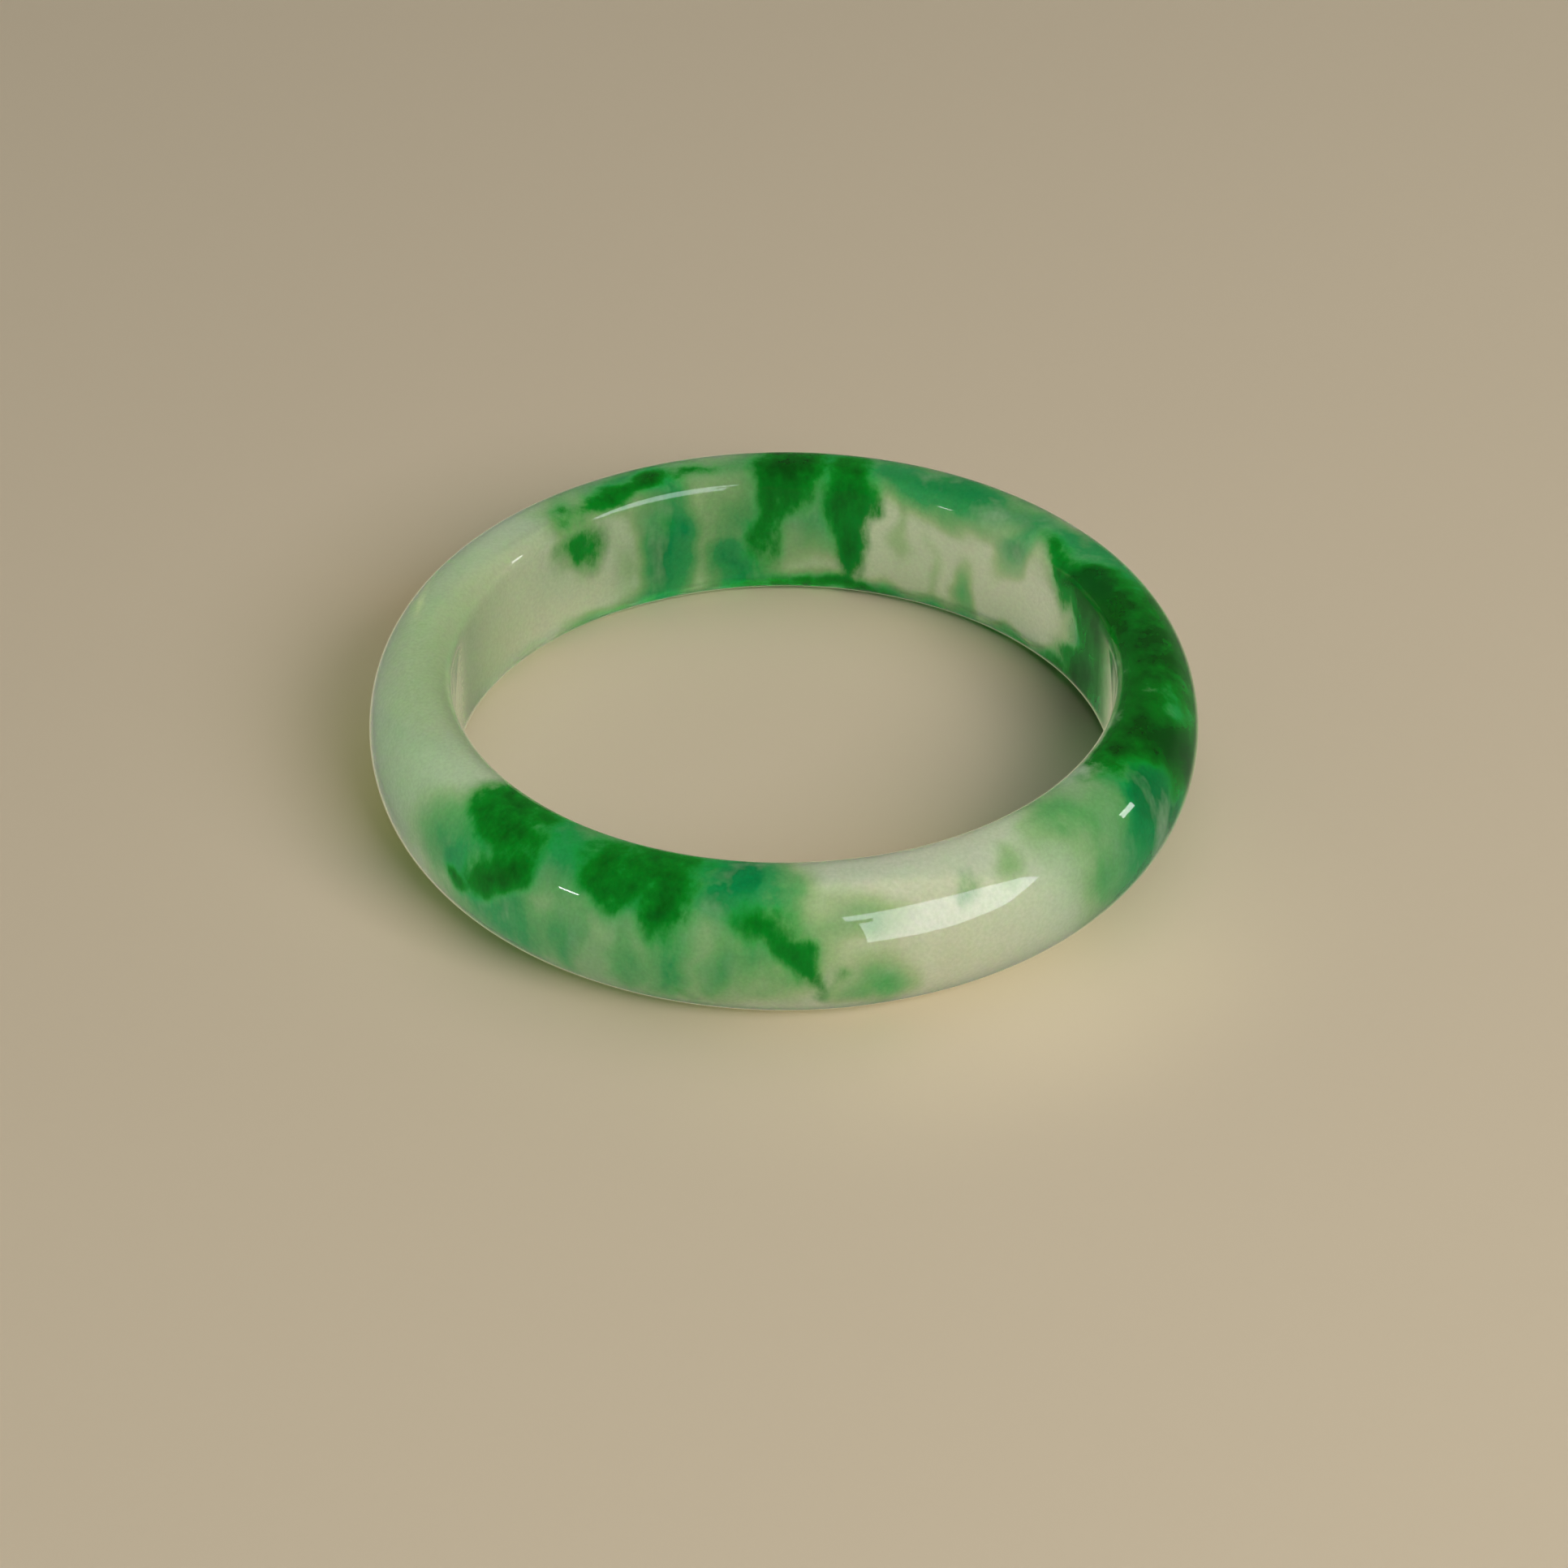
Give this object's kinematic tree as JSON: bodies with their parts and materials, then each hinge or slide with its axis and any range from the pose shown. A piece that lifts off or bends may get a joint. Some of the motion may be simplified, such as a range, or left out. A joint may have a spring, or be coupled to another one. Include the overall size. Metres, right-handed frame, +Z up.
{
  "type": "bangle bracelet",
  "caption": "Rigid closed ring bangle carved from translucent green stone, D-shaped section: straight inside wall, domed polished outside, lying flat on its lower edge.",
  "frame": {"origin": "on the ring's axis, at the height of the flat land that the bangle rests on", "axes": "+Z up along the ring's axis; +X and +Y are any two square directions across the ring"},
  "size_m": [0.0704, 0.0704, 0.0129],
  "materials": {
    "jade": "polished"
  },
  "bodies": {
    "root": {"jade_ring": "jade"}
  },
  "joints": []
}
